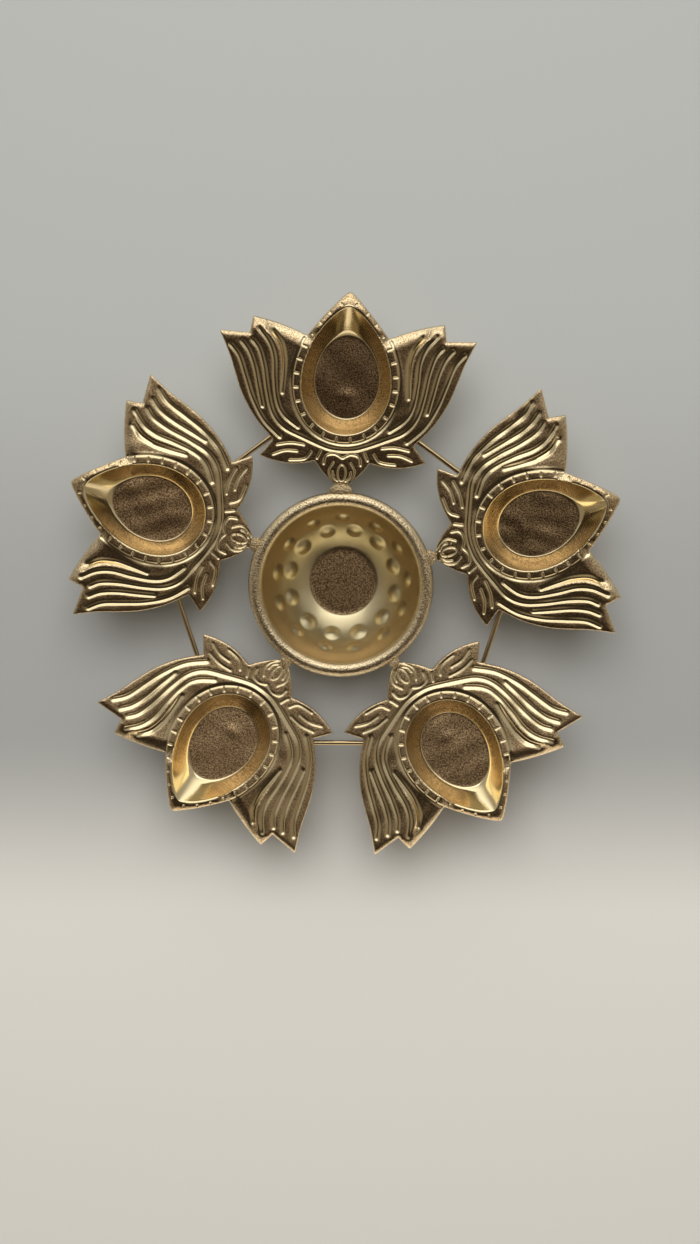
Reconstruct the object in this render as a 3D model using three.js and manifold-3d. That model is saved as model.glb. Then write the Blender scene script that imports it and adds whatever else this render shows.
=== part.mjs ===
// An urli with diyas: a hammered metal bowl ringed by five pressed lotus plates, each with a teardrop lamp cup.
// Millimetres. +Z is up, the bowl opens upwards, and the origin is the middle of the bowl's flat underside.

import * as THREE from "three";
import { mergeVertices } from "three/addons/utils/BufferGeometryUtils.js";
import Module from "manifold-3d";

const wasm = await Module();
wasm.setup();

// Fits and metal
const seatGap = 0.3; // left between pieces that are only joined by weld
const bowlSheet = 1.1;
const lotusSheet = 0.9;
const finest = 0.04; // facets smaller than this are merged

// Bowl
const floorRadius = 18.4;
const mouthRadius = 41.1; // inside the rolled rim
const rimCentreHeight = 31;
const rimRoll = 3.85; // outer radius of the rolled rim's section
const rimCurlDegrees = 285;
const floorTurnDegrees = 24; // slope of the wall where it leaves the floor
const rimTurnDegrees = 78; // slope of the wall where it meets the rim
const bowlSides = 34;

// Hammered dents, struck from outside so that they bulge into the bowl
const dentHeight = 1.5;
const lowerDents = { count: 12, wallShare: 0.33, width: 9.4, startDegrees: -12.4 };
const upperDents = { count: 13, wallShare: 0.6, width: 8, startDegrees: -2.2 };

// Lotus plates: x runs across a plate and y outwards from the tip of its bud
const lotusCount = 5;
const lotusRise = 8; // degrees that a plate climbs outwards
const lotusSeat = 1.1; // bud tip beyond the rim
const lotusLength = 100;
const lotusHalfWidth = 65.7;
// How far each plate was welded off its place: sideways clockwise, outwards, and turned clockwise in degrees
const asWelded = [
  { slip: 0.3, push: 0.2, lean: 3.1 },
  { slip: 0.8, push: 0.9, lean: 0.3 },
  { slip: 0.9, push: -0.2, lean: 1.5 },
  { slip: -0.2, push: -0.8, lean: 1.5 },
  { slip: 6.6, push: -0.3, lean: 1.1 },
];

// The plate's drawing, right half: each point in shares of the half width and of the length
const drawing = {
  budShoulder: [0.216, 0.14],
  leafTip: [0.659, 0.157],
  leafNotch: [0.557, 0.243],
  wingBelly: [0.7, 0.345, 0.807, 0.46, 0.868, 0.565, 0.916, 0.66],
  wingTip: [1, 0.783],
  wingNotch: [0.764, 0.776],
  lobeTip: [0.746, 0.861],
  spoutRoot: [0.32, 0.775],
  nib: [0.03, 0.99],
  outerRib: [0.493, 0.265, 0.618, 0.343, 0.709, 0.449, 0.767, 0.554, 0.825, 0.659, 0.898, 0.72],
  shortRib: [0.635, 0.413, 0.665, 0.501, 0.702, 0.607, 0.749, 0.686, 0.807, 0.736],
  middleRib: [0.329, 0.272, 0.466, 0.314, 0.549, 0.38, 0.594, 0.48, 0.627, 0.607, 0.67, 0.698, 0.725, 0.746],
  innerRib: [0.353, 0.319, 0.463, 0.374, 0.518, 0.443, 0.542, 0.554, 0.553, 0.659, 0.597, 0.739, 0.679, 0.804],
  cupRib: [0.481, 0.485, 0.473, 0.58, 0.475, 0.659, 0.505, 0.736, 0.569, 0.792],
  garland: [0, 0.21, 0.122, 0.22], // carries the middle ribs on under the cup
  upperLeafStroke: [0.307, 0.222, 0.414, 0.228, 0.521, 0.216],
  lowerLeafStroke: [0.359, 0.187, 0.457, 0.187, 0.548, 0.165],
  leafCurl: [0.25, 0.188, 0.3, 0.149, 0.419, 0.14],
  leafStem: [0.174, 0.196, 0.186, 0.176, 0.201, 0.156],
  petal: [0.073, 0.136, 0.098, 0.09, 0.055, 0.036],
  heart: [0, 0.161, 0.064, 0.182, 0.131, 0.17, 0.146, 0.13],
  seed: [0, 0.13, 0.0002, 0.09, 0, 0.046],
};
// How far the edge bows out between two points of the drawing, in shares of the length
const bows = { bud: 0.012, leaf: 0.028, lobe: 0.0095, spout: 0.0055 };

// Teardrop cup: where its lip and floor start and end along the plate, and their half widths, in the same shares
const lip = { start: 0.279, end: 0.933, halfWidth: 0.355, fullness: 0.5 };
const floor = { start: 0.36, end: 0.77, halfWidth: 0.25, fullness: 0.25 };
const cupDepth = 12;
const lipRound = 0.9;
const cupSides = 26;

// Stitched border round the cup: a groove with short ones running in to the lip
const stitchCount = 26;
const railSides = 29;
const borderShare = 0.041; // lip to the middle of the border's groove
const railShare = 0.007;
const stitchShare = 0.009;
const clearShare = 0.005;
const railDepth = 0.5;
const stitchDepth = 0.5;

// Grooves of the wings, pressed right through so that they stand out behind, and finer strokes of the leaves and bud
const ribDepth = 1;
const ribShare = 0.022; // of the half width
const ribEndShare = 0.0137;
const strokeDepth = 0.5;
const strokeShare = 0.0105;
const seedShare = 0.018;

// Tie rods behind the plates, and the welds
const rodRadius = 1.3;
const rodReach = 84; // bowl centre to the middle of a rod
const rodHalfLength = 31;
const rodSides = 10;
const rimWeld = { width: 8, length: 5, height: 3.6 };
const rodWeld = { width: 6.4, length: 4.6, fill: 1.6 }; // fill: its height, in heights of the gap it bridges

const radians = THREE.MathUtils.degToRad;
const rimCentreRadius = mouthRadius + rimRoll;
const rimRadius = mouthRadius + 2 * rimRoll;
const budRadius = rimRadius + lotusSeat;
const plateHeight = rimCentreHeight + lotusSheet; // top face of a plate at its bud tip
const borderWidth = lotusLength * borderShare;
const railHalfWidth = lotusLength * railShare;
const stitchHalfWidth = lotusLength * stitchShare;
const stitchClear = lotusLength * clearShare;
const ribHalfWidth = lotusHalfWidth * ribShare;
const ribEndHalfWidth = lotusHalfWidth * ribEndShare;
const strokeHalfWidth = lotusLength * strokeShare;

const gold = { color: 0xb08a4e, metalness: 0.85, roughness: 0.42 };
const darkGold = { color: 0x8c6b3a, metalness: 0.85, roughness: 0.55 };

const point = (x, y) => new THREE.Vector2(x, y);
const mirrored = (points) => points.map((p) => point(-p.x, p.y)).reverse();
const spline = (points, steps) => new THREE.SplineCurve(points).getPoints(steps);

// Points of the drawing in millimetres
function drawn(...names) {
  const shares = names.flatMap((name) => drawing[name]);
  const made = [];
  for (let i = 0; i < shares.length; i += 2)
    made.push(point(shares[i] * lotusHalfWidth, shares[i + 1] * lotusLength));
  return made;
}

function mesh(name, geometry, look = gold) {
  const made = new THREE.Mesh(geometry, new THREE.MeshStandardMaterial(look));
  made.name = name;
  geometry.computeVertexNormals();
  return made;
}

// Solids for the joins and cuts

function solid(geometry, matrix) {
  const bare = geometry.clone();
  for (const key of Object.keys(bare.attributes)) if (key !== "position") bare.deleteAttribute(key);
  if (matrix) bare.applyMatrix4(matrix);
  const merged = mergeVertices(bare, 1e-4);
  return new wasm.Manifold(
    new wasm.Mesh({
      numProp: 3,
      vertProperties: merged.attributes.position.array,
      triVerts: new Uint32Array(merged.index.array),
    }),
  );
}

function geometryOf(made) {
  const { vertProperties, triVerts, numProp } = made.getMesh();
  const positions = new Float32Array((vertProperties.length / numProp) * 3);
  for (let i = 0; i * numProp < vertProperties.length; i++)
    positions.set(vertProperties.subarray(i * numProp, i * numProp + 3), i * 3);
  return new THREE.BufferGeometry()
    .setAttribute("position", new THREE.BufferAttribute(positions, 3))
    .setIndex(new THREE.BufferAttribute(triVerts, 1));
}

const largestOf = (made) => made.decompose().sort((a, b) => b.volume() - a.volume())[0];

// Bowl

const wallCurve = (() => {
  const foot = point(floorRadius, bowlSheet);
  const mouth = point(mouthRadius, rimCentreHeight);
  const footSlope = Math.tan(radians(floorTurnDegrees));
  const mouthSlope = Math.tan(radians(rimTurnDegrees));
  const turn = (mouth.x * mouthSlope - foot.x * footSlope + foot.y - mouth.y) / (mouthSlope - footSlope);
  return new THREE.QuadraticBezierCurve(foot, point(turn, foot.y + (turn - foot.x) * footSlope), mouth);
})();

function wallPoint(share, depth = 0) {
  const on = wallCurve.getPoint(share);
  const along = wallCurve.getTangent(share);
  return point(on.x + along.y * depth, on.y - along.x * depth);
}

function rimArc(radius, steps, backwards) {
  return Array.from({ length: steps + 1 }, (_, i) => {
    const share = (backwards ? steps - i : i) / steps;
    const turn = Math.PI - radians(rimCurlDegrees) * share;
    return point(rimCentreRadius + radius * Math.cos(turn), rimCentreHeight + radius * Math.sin(turn));
  });
}

function dome(width, height, sunk, sides, rings) {
  const radius = (width * width) / 8 / height + height / 2;
  const half = Math.asin(width / 2 / radius);
  const profile = [point(0, -sunk), point(width / 2, -sunk)];
  for (let i = 0; i < rings; i++) {
    const a = half * (1 - i / rings);
    profile.push(point(radius * Math.sin(a), height - radius + radius * Math.cos(a)));
  }
  profile.push(point(0, height));
  return new THREE.LatheGeometry(profile, sides).rotateX(Math.PI / 2);
}

function bowl() {
  const wallSteps = 4;
  const wall = Array.from({ length: wallSteps }, (_, i) => i / wallSteps);
  const profile = [
    point(0, 0),
    point(floorRadius, 0),
    ...wall.slice(1).map((share) => wallPoint(share, bowlSheet)),
    point(mouthRadius + bowlSheet, rimCentreHeight),
    ...rimArc(rimRoll - bowlSheet, 4).slice(1),
    ...rimArc(rimRoll, 7, true),
    ...wall.map((share) => wallPoint(share)).reverse(),
    point(0, bowlSheet),
  ];
  const turned = new THREE.LatheGeometry(profile, bowlSides).rotateX(Math.PI / 2);
  let made = solid(turned);
  for (const row of [lowerDents, upperDents])
    for (let i = 0; i < row.count; i++) {
      const turn = radians(90 + row.startDegrees + (360 / row.count) * i);
      const on = wallPoint(row.wallShare);
      const along = wallCurve.getTangent(row.wallShare);
      const place = new THREE.Matrix4()
        .makeRotationZ(turn)
        .multiply(new THREE.Matrix4().makeTranslation(on.x, 0, on.y))
        .multiply(new THREE.Matrix4().makeRotationY(-Math.atan2(along.y, along.x)));
      const outer = solid(dome(row.width, dentHeight, bowlSheet / 2, 7, 2), place);
      const drop = new THREE.Matrix4().makeTranslation(0, 0, -bowlSheet);
      const inner = solid(dome(row.width - bowlSheet, dentHeight, bowlSheet, 5, 1), place.clone().multiply(drop));
      made = made.add(outer).subtract(inner);
    }
  return mesh("bowl", geometryOf(made.simplify(finest)));
}

// Lotus plate: a pressed sheet, drawn as loops in the plane of the plate

function teardrop({ start, end, halfWidth, fullness }, sides = cupSides) {
  const widest = Math.acos(-fullness / (fullness + 2));
  const peak = Math.sin(widest) * Math.sin(widest / 2) ** fullness;
  return Array.from({ length: sides }, (_, i) => {
    const t = (2 * Math.PI * i) / sides;
    const x = Math.sin(t) * Math.sin(t / 2) ** fullness;
    const y = start + ((end - start) * (1 + Math.cos(t))) / 2;
    return point((x * halfWidth * lotusHalfWidth) / peak, y * lotusLength);
  });
}

// The lip of the cup moved outwards by a distance
function aroundLip(by, sides) {
  const edge = teardrop(lip, sides);
  return edge.map((p, i) => {
    const before = edge[(i + sides - 1) % sides];
    const after = edge[(i + 1) % sides];
    return p.clone().add(point(before.y - after.y, after.x - before.x).setLength(by));
  });
}

// An arc through two points that bulges to the right of the way from one to the other
function bowed([from, to], bow, steps) {
  const mid = point((from.x + to.x) / 2, (from.y + to.y) / 2);
  const side = point(to.y - from.y, from.x - to.x).normalize().multiplyScalar(2 * bow * lotusLength);
  const turn = mid.add(side);
  return new THREE.QuadraticBezierCurve(from, turn, to).getPoints(steps);
}

function outlineHalf() {
  return [
    ...bowed([point(0, 0), ...drawn("budShoulder")], bows.bud, 3),
    ...bowed(drawn("budShoulder", "leafTip"), bows.leaf, 5).slice(1),
    ...spline(drawn("leafNotch", "wingBelly", "wingTip"), 7),
    ...drawn("wingNotch"),
    ...bowed(drawn("lobeTip", "spoutRoot"), bows.lobe, 3),
    ...bowed(drawn("spoutRoot", "nib"), bows.spout, 3).slice(1),
  ];
}

// A groove along a path: its edge as a loop and its bottom as a line
function groove(path, halfWidth, endHalfWidth, depth) {
  const last = path.length - 1;
  const left = [];
  const right = [];
  path.forEach((p, i) => {
    const before = path[Math.max(i - 1, 0)];
    const after = path[Math.min(i + 1, last)];
    const side = point(before.y - after.y, after.x - before.x).normalize();
    const width = i === 0 || i === last ? endHalfWidth : halfWidth;
    left.push(p.clone().addScaledVector(side, width));
    right.push(p.clone().addScaledVector(side, -width));
  });
  return { path, left, right, depth };
}

const flipped = (made) => ({
  ...made,
  path: made.path.map((p) => point(-p.x, p.y)),
  left: made.right.map((p) => point(-p.x, p.y)),
  right: made.left.map((p) => point(-p.x, p.y)),
});

// The middle ribs run on under the cup as one groove; the others stop in the wings
function wingRibs(longSteps, shortSteps) {
  const rib = (name, steps) => groove(spline(drawn(name), steps), ribHalfWidth, ribEndHalfWidth, ribDepth);
  const half = [
    rib("outerRib", longSteps),
    rib("shortRib", shortSteps),
    rib("innerRib", longSteps),
    rib("cupRib", shortSteps),
  ];
  const right = spline(drawn("garland", "middleRib"), longSteps + 2);
  const whole = [...mirrored(right).slice(0, -1), ...right];
  return [...half, ...half.map(flipped), groove(whole, ribHalfWidth, ribEndHalfWidth, ribDepth)];
}

function strokes() {
  const stroke = (path, halfWidth = strokeHalfWidth) =>
    groove(path, halfWidth, strokeHalfWidth * 0.8, strokeDepth);
  const sides = ["upperLeafStroke", "lowerLeafStroke", "leafCurl", "leafStem", "petal"];
  const made = sides.map((name) => stroke(spline(drawn(name), 2)));
  const heart = drawn("heart");
  const whole = [...mirrored(heart).slice(0, -1), ...heart];
  return [
    ...made,
    ...made.map(flipped),
    stroke(spline(whole, 6)),
    stroke(drawn("seed"), lotusLength * seedShare),
  ];
}

function borderRail() {
  const path = aroundLip(borderWidth, railSides).filter(
    (p) => p.y < drawn("spoutRoot")[0].y && inside(p, outlineLoop, 2 * railHalfWidth),
  );
  return groove(path, railHalfWidth, railHalfWidth * 0.7, railDepth);
}

// Short grooves from the lip to the rail, and shorter ones where the spout leaves less room
function stitches() {
  const fine = 8 * cupSides;
  const edge = teardrop(lip, fine);
  const steps = edge.map((p, i) => p.distanceTo(edge[(i + 1) % fine]));
  const pitch = steps.reduce((sum, step) => sum + step, 0) / stitchCount;
  const inner = aroundLip(stitchClear, fine);
  const fullEnd = aroundLip(borderWidth - railHalfWidth - stitchClear, fine);
  const shortEnd = aroundLip(borderWidth / 2, fine);
  const made = [];
  let run = pitch / 2;
  steps.forEach((step, i) => {
    run += step;
    if (run < pitch) return;
    run -= pitch;
    const end = inside(fullEnd[i], outlineLoop, borderWidth / 2) ? fullEnd[i] : shortEnd[i];
    if (inside(end, outlineLoop, stitchClear))
      made.push(groove([inner[i], end], stitchHalfWidth, stitchHalfWidth, stitchDepth));
  });
  return made;
}

const outlineLoop = (() => {
  const half = outlineHalf();
  return [...half, point(0, lotusLength), ...mirrored(half).slice(0, -1)];
})();

function inside(p, loop, margin) {
  let odd = false;
  let near = Infinity;
  loop.forEach((a, i) => {
    const b = loop[(i + 1) % loop.length];
    if (a.y > p.y !== b.y > p.y && p.x < ((b.x - a.x) * (p.y - a.y)) / (b.y - a.y) + a.x) odd = !odd;
    const along = b.clone().sub(a);
    const t = THREE.MathUtils.clamp(p.clone().sub(a).dot(along) / along.lengthSq(), 0, 1);
    near = Math.min(near, p.distanceTo(a.clone().addScaledVector(along, t)));
  });
  return odd && near > margin;
}

// One face of the sheet: a flat field with holes, closed by the grooves and the cup
class Face {
  constructor(level) {
    this.level = level;
    this.positions = [];
    this.triangles = [];
    this.holes = [];
  }
  ring(points, height) {
    return points.map((p) => this.positions.push([p.x, p.y, height]) - 1);
  }
  hole(points, ids) {
    this.holes.push({ points, ids });
  }
  strip(a, b) {
    for (let i = 0; i + 1 < a.length; i++)
      this.triangles.push([a[i], a[i + 1], b[i + 1]], [a[i], b[i + 1], b[i]]);
  }
  addGroove({ path, left, right, depth }) {
    const l = this.ring(left, this.level);
    const r = this.ring(right, this.level);
    const bottom = path.slice();
    const last = path.length - 1;
    const pull = (from, to) => from.clone().lerp(to, Math.min(0.4, 1 / from.distanceTo(to)));
    bottom[0] = pull(path[0], path[1]);
    bottom[last] = pull(path[last], path[last - 1]);
    const c = this.ring(bottom, this.level - depth);
    this.strip(c, l);
    this.strip(r, c);
    this.triangles.push([r[0], c[0], l[0]], [l[last], c[last], r[last]]);
    this.hole([...left, ...right.slice().reverse()], [...l, ...r.slice().reverse()]);
  }
  addCup(rings) {
    const ids = rings.map(({ points, height }) => this.ring(points, height));
    for (let k = 0; k + 1 < ids.length; k++)
      this.strip([...ids[k + 1], ids[k + 1][0]], [...ids[k], ids[k][0]]);
    const inner = rings[rings.length - 1].points;
    for (const [a, b, c] of THREE.ShapeUtils.triangulateShape(inner, []))
      this.triangles.push(orient(inner, [a, b, c]).map((i) => ids[ids.length - 1][i]));
    this.hole(rings[0].points, ids[0]);
  }
  addField(outline) {
    this.edge = this.ring(outline, this.level);
    const points = [...outline, ...this.holes.flatMap((h) => h.points)];
    const ids = [...this.edge, ...this.holes.flatMap((h) => h.ids)];
    const faces = THREE.ShapeUtils.triangulateShape(
      outline.slice(),
      this.holes.map((h) => h.points.slice()),
    );
    for (const face of faces) this.triangles.push(orient(points, face).map((i) => ids[i]));
  }
}

function orient(points, [a, b, c]) {
  const turn =
    (points[b].x - points[a].x) * (points[c].y - points[a].y) -
    (points[c].x - points[a].x) * (points[b].y - points[a].y);
  return turn > 0 ? [a, b, c] : [a, c, b];
}

function cupRings(grow, drop) {
  const at = (share, by) => {
    const mix = THREE.MathUtils.lerp;
    return teardrop({
      start: mix(lip.start, floor.start, share) - by / lotusLength,
      end: mix(lip.end, floor.end, share) + by / lotusLength,
      halfWidth: mix(lip.halfWidth, floor.halfWidth, share) + by / lotusHalfWidth,
      fullness: mix(lip.fullness, floor.fullness, share),
    });
  };
  const shoulder = lipRound / cupDepth;
  return [
    { points: at(0, grow * 0.6), height: -drop },
    { points: at(shoulder * 1.4, grow * 0.85), height: -lipRound - drop * 0.4 },
    { points: at(1 - shoulder, grow * 0.85), height: -cupDepth + lipRound * 0.6 - drop * 0.5 },
    { points: at(1, -lipRound * 0.6 + grow * 0.6), height: -cupDepth - drop },
  ];
}

function lotusGeometry() {
  const front = new Face(0);
  for (const made of [...wingRibs(5, 3), ...strokes(), borderRail(), ...stitches()]) front.addGroove(made);
  front.addCup(cupRings(0, 0));
  front.addField(outlineLoop);

  const back = new Face(-lotusSheet);
  for (const made of wingRibs(5, 3)) back.addGroove(made);
  back.addCup(cupRings(lotusSheet, lotusSheet));
  back.addField(outlineLoop);

  const offset = front.positions.length;
  const triangles = [
    ...front.triangles,
    ...back.triangles.map(([a, b, c]) => [a + offset, c + offset, b + offset]),
  ];
  front.edge.forEach((a, i) => {
    const b = front.edge[(i + 1) % front.edge.length];
    const c = back.edge[i] + offset;
    const d = back.edge[(i + 1) % back.edge.length] + offset;
    triangles.push([a, c, d], [a, d, b]);
  });
  return new THREE.BufferGeometry()
    .setAttribute(
      "position",
      new THREE.Float32BufferAttribute([...front.positions, ...back.positions].flat(), 3),
    )
    .setIndex(triangles.flat());
}

// Places a plate's own frame at the rim, with y outwards and tilted up
function lotusFrame(i) {
  const { slip, push, lean } = asWelded[i % lotusCount];
  const frame = new THREE.Group();
  frame.rotation.z = (-2 * Math.PI * i) / lotusCount;
  const tilt = new THREE.Group();
  tilt.position.set(slip, budRadius + push, plateHeight);
  tilt.rotation.set(radians(lotusRise), 0, radians(-lean));
  frame.add(tilt);
  frame.tilt = tilt;
  frame.updateMatrixWorld(true);
  return frame;
}

// Height of a plate's back face over a point, or null where the plate doesn't reach it
function backFaceOver(i, x, y) {
  const matrix = lotusFrame(i).tilt.matrixWorld;
  const foot = new THREE.Vector3().setFromMatrixPosition(matrix);
  const up = new THREE.Vector3().setFromMatrixColumn(matrix, 2);
  const top = foot.z - (up.x * (x - foot.x) + up.y * (y - foot.y)) / up.z;
  const own = new THREE.Vector3(x, y, top).applyMatrix4(matrix.clone().invert());
  return inside(point(own.x, own.y), outlineLoop, 0) ? top - lotusSheet / up.z : null;
}

// Rods: level, just under the grooves of the two plates that each one joins

function rod() {
  return new THREE.CylinderGeometry(rodRadius, rodRadius, 2 * rodHalfLength, rodSides).rotateZ(Math.PI / 2);
}

// A rod lies midway between its plates, along the way that they slipped
function rodPlace(i) {
  const shift = (asWelded[i].slip + asWelded[(i + 1) % lotusCount].slip) / 2;
  const flat = new THREE.Matrix4()
    .makeRotationZ(((-2 * Math.PI) / lotusCount) * (i + 0.5))
    .multiply(new THREE.Matrix4().makeTranslation(shift, rodReach, 0));
  let lowest = Infinity;
  for (let along = -rodHalfLength; along <= rodHalfLength; along += rodRadius / 4)
    for (const across of [-rodRadius, rodRadius]) {
      const at = new THREE.Vector3(along, across, 0).applyMatrix4(flat);
      for (const plate of [i, i + 1]) lowest = Math.min(lowest, backFaceOver(plate, at.x, at.y) ?? Infinity);
    }
  const height = lowest - ribDepth - seatGap - rodRadius;
  return new THREE.Matrix4().makeTranslation(0, 0, height).multiply(flat);
}

// Everything under a plate's back face, with the clearance, as a cutter for welds
function underPlate(i, clearance) {
  const size = 2 * lotusLength;
  const slab = new THREE.BoxGeometry(size, size, size);
  const shift = new THREE.Matrix4().makeTranslation(0, 0, size / 2 - lotusSheet - clearance);
  return solid(slab, lotusFrame(i).tilt.matrixWorld.clone().multiply(shift));
}

// A plate let down by the gap, which cuts round the backs of its grooves
function loweredPlate(i) {
  const down = new THREE.Matrix4().makeTranslation(0, 0, -seatGap);
  return solid(lotusGeometry(), lotusFrame(i).tilt.matrixWorld.clone().multiply(down));
}

function blob({ width, length, height }, place) {
  const ball = new THREE.SphereGeometry(0.5, 6, 3).scale(width, length, height);
  return solid(ball, place);
}

// At the point of the rim that is nearest to the bud tip
function rimWeldGeometry(i) {
  const frame = lotusFrame(i);
  const bud = new THREE.Vector3().setFromMatrixPosition(frame.tilt.matrixWorld);
  const place = new THREE.Matrix4()
    .makeRotationZ(Math.atan2(bud.y, bud.x) - Math.PI / 2)
    .multiply(new THREE.Matrix4().makeTranslation(0, rimRadius + seatGap, plateHeight + seatGap));
  const roll = solid(
    new THREE.TorusGeometry(rimCentreRadius, rimRoll + seatGap, 12, bowlSides).translate(0, 0, rimCentreHeight),
  );
  const plateShape = new THREE.Shape(outlineLoop.map((p) => point(p.x * 1.02, p.y - seatGap)));
  const thick = lotusSheet + 2 * seatGap;
  const plate = new THREE.ExtrudeGeometry(plateShape, { depth: thick, bevelEnabled: false });
  plate.translate(0, 0, -lotusSheet - seatGap);
  return geometryOf(
    largestOf(blob(rimWeld, place).subtract(roll).subtract(solid(plate, frame.tilt.matrixWorld))),
  );
}

function rodWeldGeometry(i, side) {
  const lotus = side > 0 ? i + 1 : i;
  const along = side * (rodHalfLength - rodWeld.width * 0.8);
  const foot = new THREE.Vector3(along, 0, 0).applyMatrix4(rodPlace(i));
  const gap = backFaceOver(lotus, foot.x, foot.y) - foot.z;
  const place = rodPlace(i).multiply(new THREE.Matrix4().makeTranslation(along, 0, gap / 2));
  const bore = new THREE.CylinderGeometry(
    rodRadius + seatGap,
    rodRadius + seatGap,
    4 * rodHalfLength,
    rodSides,
  ).rotateZ(Math.PI / 2);
  const size = { ...rodWeld, height: gap * rodWeld.fill };
  return geometryOf(
    largestOf(
      blob(size, place)
        .subtract(solid(bore, rodPlace(i)))
        .subtract(underPlate(lotus, seatGap))
        .subtract(loweredPlate(lotus)),
    ),
  );
}

const urli = new THREE.Group();
urli.add(bowl());

for (let i = 0; i < lotusCount; i++) {
  const frame = lotusFrame(i);
  frame.tilt.add(mesh(`lotus_plate_${i + 1}`, lotusGeometry()));
  urli.add(frame);
}

for (let i = 0; i < lotusCount; i++) {
  const made = mesh(`tie_rod_${i + 1}`, rod(), darkGold);
  made.applyMatrix4(rodPlace(i));
  urli.add(made);
  urli.add(mesh(`rim_weld_${i + 1}`, rimWeldGeometry(i), darkGold));
  urli.add(mesh(`rod_weld_${i + 1}_a`, rodWeldGeometry(i, -1), darkGold));
  urli.add(mesh(`rod_weld_${i + 1}_b`, rodWeldGeometry(i, 1), darkGold));
}

export default urli;
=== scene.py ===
import math
import random

import bpy
import numpy as np
from mathutils import Matrix, Vector, noise
from mathutils.geometry import delaunay_2d_cdt


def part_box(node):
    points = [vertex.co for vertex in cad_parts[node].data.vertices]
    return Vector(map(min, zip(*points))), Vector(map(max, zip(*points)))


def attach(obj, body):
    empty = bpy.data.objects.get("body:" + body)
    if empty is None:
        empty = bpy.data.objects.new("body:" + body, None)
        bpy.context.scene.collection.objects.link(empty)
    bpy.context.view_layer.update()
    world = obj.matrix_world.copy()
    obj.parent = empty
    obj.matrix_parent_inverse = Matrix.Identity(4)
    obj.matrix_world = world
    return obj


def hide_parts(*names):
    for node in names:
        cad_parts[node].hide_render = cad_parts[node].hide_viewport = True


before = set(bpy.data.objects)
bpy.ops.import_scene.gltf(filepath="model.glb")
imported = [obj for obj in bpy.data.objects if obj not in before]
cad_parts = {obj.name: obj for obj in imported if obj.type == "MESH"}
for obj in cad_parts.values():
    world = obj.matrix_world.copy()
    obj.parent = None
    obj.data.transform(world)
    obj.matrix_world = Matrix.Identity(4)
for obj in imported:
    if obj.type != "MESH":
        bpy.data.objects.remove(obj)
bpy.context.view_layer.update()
mm = 0.001


def deselectAll():
    if bpy.context.object and bpy.context.object.mode != "OBJECT":
        bpy.ops.object.mode_set(mode="OBJECT")
    bpy.ops.object.select_all(action="DESELECT")


def pick(obj):
    deselectAll()
    obj.select_set(True)
    bpy.context.view_layer.objects.active = obj
    return obj


def bakePlace(obj):
    pick(obj)
    bpy.ops.object.transform_apply(location=True, rotation=True, scale=True)


def pointsOf(mesh):
    flat = np.empty(len(mesh.vertices) * 3)
    mesh.vertices.foreach_get("co", flat)
    return flat.reshape(-1, 3) / mm


def movePoints(mesh, points):
    mesh.vertices.foreach_set("co", (points * mm).ravel())
    mesh.update()


def paintPoints(mesh, name, values):
    layer = mesh.attributes.new(name, "FLOAT", "POINT")
    layer.data.foreach_set("value", np.asarray(values, np.float32))


def copyOf(mesh):
    obj = bpy.data.objects.new(mesh.name, mesh.copy())
    bpy.context.scene.collection.objects.link(obj)
    return obj


def finishPiece(obj, name, material, slot, *nodes, smoothAngle=50):
    obj.name = name
    obj.data.name = name
    obj.data.materials.clear()
    obj.data.materials.append(material)
    pick(obj)
    bpy.ops.object.shade_smooth_by_angle(angle=math.radians(smoothAngle))
    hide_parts(*nodes)
    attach(obj, "root")


# Shader maths: a socket that can be added, multiplied and mixed


class Tap:
    def __init__(self, tree, socket=None):
        self.tree = tree
        self.socket = socket

    def node(self, kind, settings=None, inputs=None, out=0):
        made = self.tree.nodes.new(kind)
        for key, value in (settings or {}).items():
            setattr(made, key, value)
        for key, value in (inputs or {}).items():
            if isinstance(value, Tap):
                self.tree.links.new(value.socket, made.inputs[key])
            else:
                made.inputs[key].default_value = value
        return Tap(self.tree, made.outputs[out])

    def maths(self, operation, *values):
        return self.node("ShaderNodeMath", {"operation": operation}, dict(enumerate(values)))

    def __add__(self, other):
        return self.maths("ADD", self, other)

    def __sub__(self, other):
        return self.maths("SUBTRACT", self, other)

    def __rsub__(self, other):
        return self.maths("SUBTRACT", other, self)

    def __mul__(self, other):
        return self.maths("MULTIPLY", self, other)

    def __abs__(self):
        return self.maths("ABSOLUTE", self)

    __radd__ = __add__
    __rmul__ = __mul__

    def ramp(self, low, high, start=0.0, end=1.0):
        return self.node(
            "ShaderNodeMapRange",
            {"clamp": True, "interpolation_type": "SMOOTHSTEP"},
            {"Value": self, "From Min": low, "From Max": high, "To Min": start, "To Max": end},
        )

    def mix(self, first, second):
        return self.node(
            "ShaderNodeMix", {"data_type": "RGBA"}, {"Factor": self, "A": first, "B": second}, out="Result"
        )

    def into(self, shader, key):
        self.tree.links.new(self.socket, shader.inputs[key])


# Gold paint. Points carry grain for the sandy matt parts, wear for rubbed edges, whose paler colour is partly
# painted highlight, and pits for the rough rim.

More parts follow.
